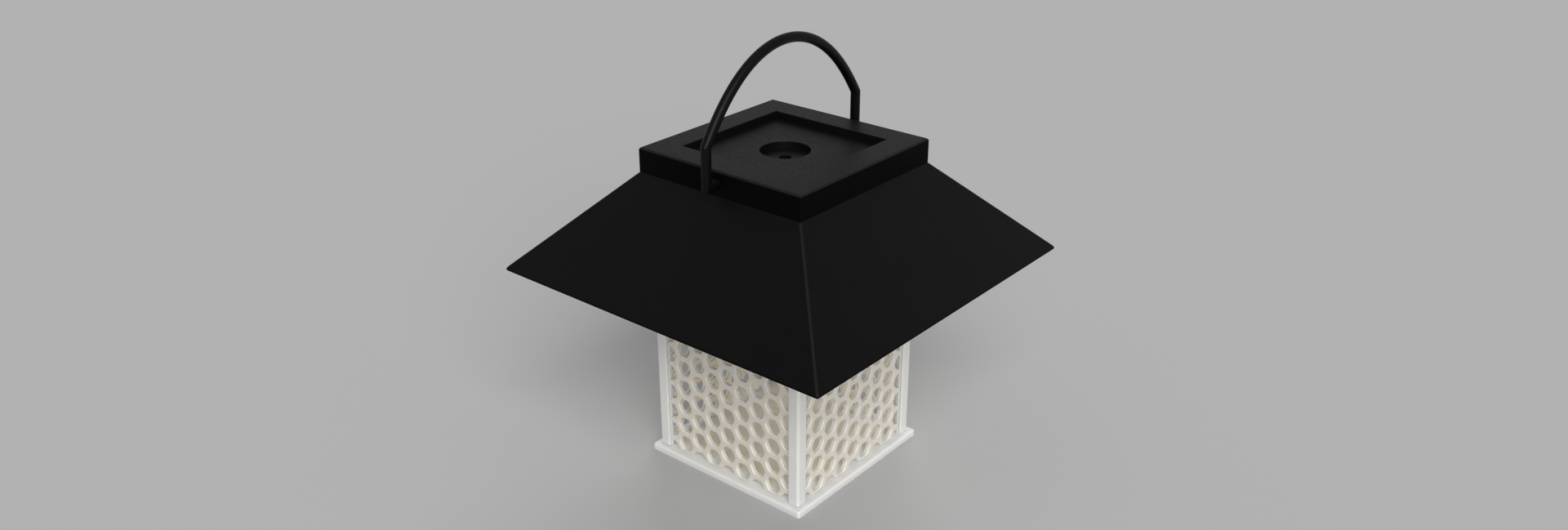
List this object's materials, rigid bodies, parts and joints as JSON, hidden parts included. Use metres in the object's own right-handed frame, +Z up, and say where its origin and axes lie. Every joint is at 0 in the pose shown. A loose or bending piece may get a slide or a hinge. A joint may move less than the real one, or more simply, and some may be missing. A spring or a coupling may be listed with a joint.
{
  "type": "solar hanging light",
  "caption": "Square lantern with honeycomb side panels, a hipped roof, a cap with a seat for a solar cell, and an arched carrying handle that swings on the cap.",
  "frame": {"origin": "centre of the base plate on the floor", "axes": "+Z up; the four faces are square to X and Y; the handle stands in the plane x = 0 and swings about Y; +Y is the side with the switch"},
  "size_m": [0.1572, 0.1572, 0.179],
  "materials": {
    "milky": "translucent milky white, fine satin",
    "black_plastic": "fine satin black",
    "black_rod": "smooth satin black",
    "clear_lens": "clear epoxy over a pale yellow phosphor",
    "frosted": "frosted white",
    "holder_plastic": "plain moulded",
    "cell_sleeve": "shrink sleeve, plain",
    "steel": "zinc plated",
    "board_green": "solder mask",
    "chip_black": "moulded",
    "ferrite": "fine grained",
    "socket_cream": "plain moulded",
    "switch_case": "dull tinned case",
    "knob_black": "plain moulded",
    "wire_black": "wire jacket",
    "wire_red": "wire jacket",
    "wire_grey": "wire jacket",
    "wire_yellow": "wire jacket"
  },
  "bodies": {
    "lamp": {"base_frame": "milky", "grille_panel_front": "milky", "grille_panel_right": "milky", "grille_panel_back": "milky", "grille_panel_left": "milky", "electronics_tray": "black_plastic", "roof_skirt": "black_plastic", "cap_housing": "black_plastic", "led_lamp": "clear_lens", "led_diffuser": "frosted", "battery_holder": "holder_plastic", "battery_cell": "cell_sleeve", "battery_spring": "steel", "battery_contact_minus": "steel", "battery_contact_plus": "steel", "control_board": "board_green", "driver_chip": "chip_black", "boost_inductor": "ferrite", "cell_socket": "socket_cream", "switch_body": "switch_case", "battery_wire_black": "wire_black", "battery_wire_red": "wire_red", "led_lead": "wire_grey", "switch_lead": "wire_yellow", "frame_screw_1": "steel", "frame_screw_2": "steel", "frame_screw_3": "steel", "frame_screw_4": "steel", "cap_screw_1": "steel", "cap_screw_2": "steel", "cap_screw_3": "steel", "cap_screw_4": "steel", "tray_screw_1": "steel", "tray_screw_2": "steel", "tray_screw_3": "steel", "tray_screw_4": "steel", "board_screw_1": "steel", "board_screw_2": "steel"},
    "handle": {"carrying_handle": "black_rod"},
    "switch": {"switch_knob": "knob_black"}
  },
  "joints": [
    {"name": "handle_swing", "type": "hinge", "parent": "lamp", "child": "handle", "pos_m": [0, 0, 0.131], "axis": [0, 1, 0], "range_deg": [-71, 71]},
    {"name": "switch_slide", "type": "slide", "parent": "lamp", "child": "switch", "axis": [1, 0, 0], "range_m": [0, 0.003]}
  ]
}
